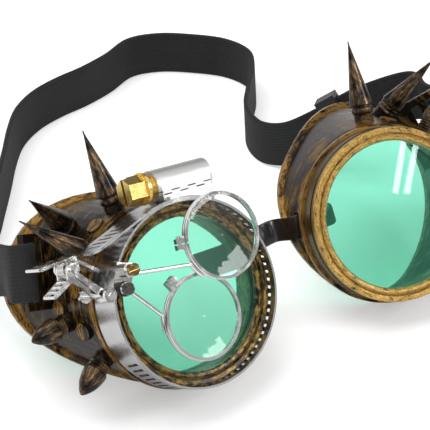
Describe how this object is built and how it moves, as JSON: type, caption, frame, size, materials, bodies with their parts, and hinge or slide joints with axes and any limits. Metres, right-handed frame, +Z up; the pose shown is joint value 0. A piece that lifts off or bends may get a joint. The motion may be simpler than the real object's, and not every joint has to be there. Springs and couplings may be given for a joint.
{
  "type": "steampunk goggles",
  "caption": "Two-lens steampunk goggles with screwed lens rings, horned cups, a hose clamp, a clip-on double loupe and an elastic head strap.",
  "frame": {"origin": "on the table, in the mirror plane of the cups, at the middle of the length from the loupe to the back of the strap loop", "axes": "+Z up from the table, the lenses look along -Y and up, +X towards the wearer's left cup as seen from in front on the right"},
  "size_m": [0.1755, 0.2065, 0.0768],
  "materials": {
    "aged_plastic": "black moulding dry-brushed with old gold",
    "aged_bronze": "brushed old gold in a black wash",
    "green_lens": "green tinted",
    "clear_lens": "clear, coated",
    "gasket_rubber": "matt",
    "vinyl": "glossy black",
    "elastic": "ribbed weave",
    "slider_plastic": "black",
    "stainless": "bright rolled",
    "zinc": "bright",
    "yellow_brass": "yellow passivated",
    "dark_steel": "blackened"
  },
  "bodies": {
    "goggles": {"left_cup": "aged_plastic", "right_cup": "aged_plastic", "left_gasket": "gasket_rubber", "right_gasket": "gasket_rubber", "left_lens": "green_lens", "left_ring": "aged_bronze", "left_horns": "aged_bronze", "right_horns": "aged_bronze", "left_bullets": "aged_bronze", "right_bullets": "aged_bronze", "bridge_strap": "vinyl", "bridge_studs": "zinc", "head_strap": "elastic", "clamp_band": "stainless", "clamp_housing": "stainless", "clip_body": "zinc", "clip_pin": "zinc", "clip_spring": "zinc", "knuckle_blocks": "zinc", "upper_pivot_screw": "yellow_brass", "lower_pivot_screw": "dark_steel"},
    "right_lens_stack": {"right_lens": "green_lens"},
    "right_lens_ring": {"right_ring": "aged_bronze"},
    "slider": {"strap_slider": "slider_plastic"},
    "worm": {"worm_screw": "yellow_brass"},
    "lever": {"clip_lever": "zinc", "clip_rod": "zinc", "clip_pads": "zinc"},
    "upper_loupe": {"upper_arm": "zinc", "upper_rim": "zinc", "upper_loupe_lens": "clear_lens", "upper_lock_screw": "zinc"},
    "lower_loupe": {"lower_arm": "zinc", "lower_rim": "zinc", "lower_loupe_lens": "clear_lens", "lower_lock_screw": "zinc"}
  },
  "joints": [
    {"name": "right_lens_lift", "type": "slide", "parent": "goggles", "child": "right_lens_stack", "axis": [-0.1478, -0.8565, 0.4945], "range_m": [0, 0.0032]},
    {"name": "right_ring_turn", "type": "hinge", "parent": "right_lens_stack", "child": "right_lens_ring", "pos_m": [0.0382, -0.0855, 0.0363], "axis": [-0.1478, -0.8565, 0.4945], "range_deg": [0, 720]},
    {"name": "slider_travel", "type": "slide", "parent": "goggles", "child": "slider", "axis": [0.657, -0.5195, 0.5463], "range_m": [-0.002, 0.002]},
    {"name": "worm_turn", "type": "hinge", "parent": "goggles", "child": "worm", "pos_m": [-0.03564, -0.06517, 0.06468], "axis": [-0.9853, -0.0839, 0.1491], "continuous": true},
    {"name": "clip_squeeze", "type": "hinge", "parent": "goggles", "child": "lever", "pos_m": [-0.0764, -0.07983, 0.05754], "axis": [-0.1478, 0.8565, -0.4945], "range_deg": [0, 12], "stiffness_Nm_per_rad": 0.08, "springref_deg": -17.19},
    {"name": "upper_loupe_swing", "type": "hinge", "parent": "goggles", "child": "upper_loupe", "pos_m": [-0.06005, -0.08928, 0.05651], "axis": [0.1478, -0.8565, 0.4945], "range_deg": [-75, 75]},
    {"name": "lower_loupe_swing", "type": "hinge", "parent": "goggles", "child": "lower_loupe", "pos_m": [-0.06242, -0.08955, 0.05067], "axis": [0.1478, -0.8565, 0.4945], "range_deg": [-75, 75]}
  ],
  "couplings": [
    {"joint": "right_lens_lift", "follows": "right_ring_turn", "m_per_rad": 0.00025465}
  ]
}
